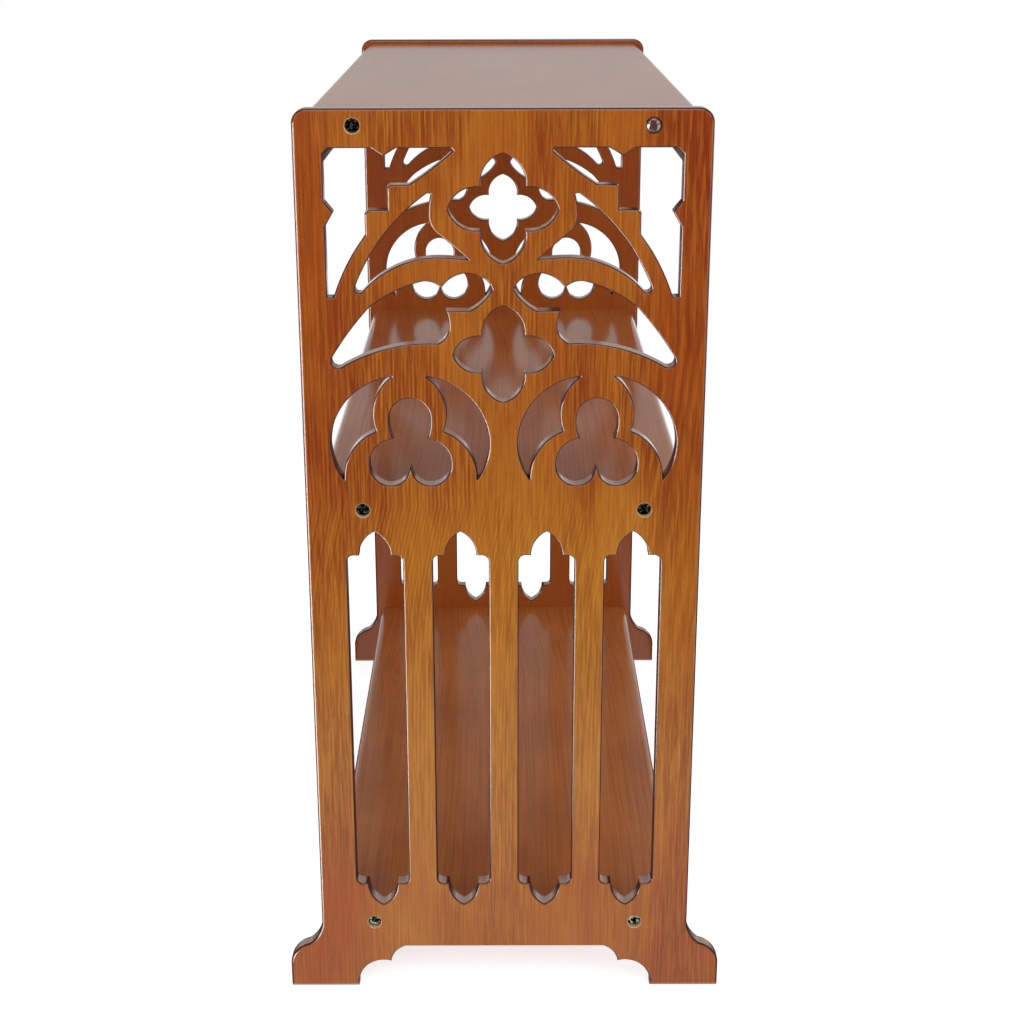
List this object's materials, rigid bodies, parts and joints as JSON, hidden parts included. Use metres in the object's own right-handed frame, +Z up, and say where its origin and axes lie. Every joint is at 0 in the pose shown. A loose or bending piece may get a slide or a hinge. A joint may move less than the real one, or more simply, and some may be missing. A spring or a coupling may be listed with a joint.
{
  "type": "photo album stand",
  "caption": "Open lacquered oak stand for photo albums: Gothic fretwork end panels with lancet slots and bracket feet, joined by bolted shelves.",
  "frame": {"origin": "on the floor, under the middle of the stand", "axes": "+X along the shelves towards the right end panel, which carries the screw-cover button; +Y across the shelves; +Z up"},
  "size_m": [0.7694, 0.3946, 0.8],
  "materials": {
    "panel_oak": "satin lacquer over brown stain",
    "shelf_oak": "glossy lacquer over dark brown stain",
    "bolt_steel": "plain",
    "nut_zinc": "zinc plated",
    "dowel_beech": "raw",
    "button_lacquer": "gloss"
  },
  "bodies": {
    "root": {"right_end_panel": "panel_oak", "left_end_panel": "panel_oak", "top_board": "shelf_oak", "middle_shelf": "shelf_oak", "bottom_shelf": "shelf_oak", "top_left_front_bolt": "bolt_steel", "top_left_back_bolt": "bolt_steel", "top_right_front_bolt": "bolt_steel", "top_right_back_bolt": "bolt_steel", "middle_left_front_bolt": "bolt_steel", "middle_left_back_bolt": "bolt_steel", "middle_right_front_bolt": "bolt_steel", "middle_right_back_bolt": "bolt_steel", "bottom_left_front_bolt": "bolt_steel", "bottom_left_back_bolt": "bolt_steel", "bottom_right_front_bolt": "bolt_steel", "bottom_right_back_bolt": "bolt_steel", "top_left_front_barrel_nut": "nut_zinc", "top_left_back_barrel_nut": "nut_zinc", "top_right_front_barrel_nut": "nut_zinc", "top_right_back_barrel_nut": "nut_zinc", "middle_left_front_barrel_nut": "nut_zinc", "middle_left_back_barrel_nut": "nut_zinc", "middle_right_front_barrel_nut": "nut_zinc", "middle_right_back_barrel_nut": "nut_zinc", "bottom_left_front_barrel_nut": "nut_zinc", "bottom_left_back_barrel_nut": "nut_zinc", "bottom_right_front_barrel_nut": "nut_zinc", "bottom_right_back_barrel_nut": "nut_zinc", "top_left_front_dowel": "dowel_beech", "top_left_back_dowel": "dowel_beech", "top_right_front_dowel": "dowel_beech", "top_right_back_dowel": "dowel_beech", "middle_left_front_dowel": "dowel_beech", "middle_left_back_dowel": "dowel_beech", "middle_right_front_dowel": "dowel_beech", "middle_right_back_dowel": "dowel_beech", "bottom_left_front_dowel": "dowel_beech", "bottom_left_back_dowel": "dowel_beech", "bottom_right_front_dowel": "dowel_beech", "bottom_right_back_dowel": "dowel_beech", "screw_cover_button": "button_lacquer"}
  },
  "joints": []
}
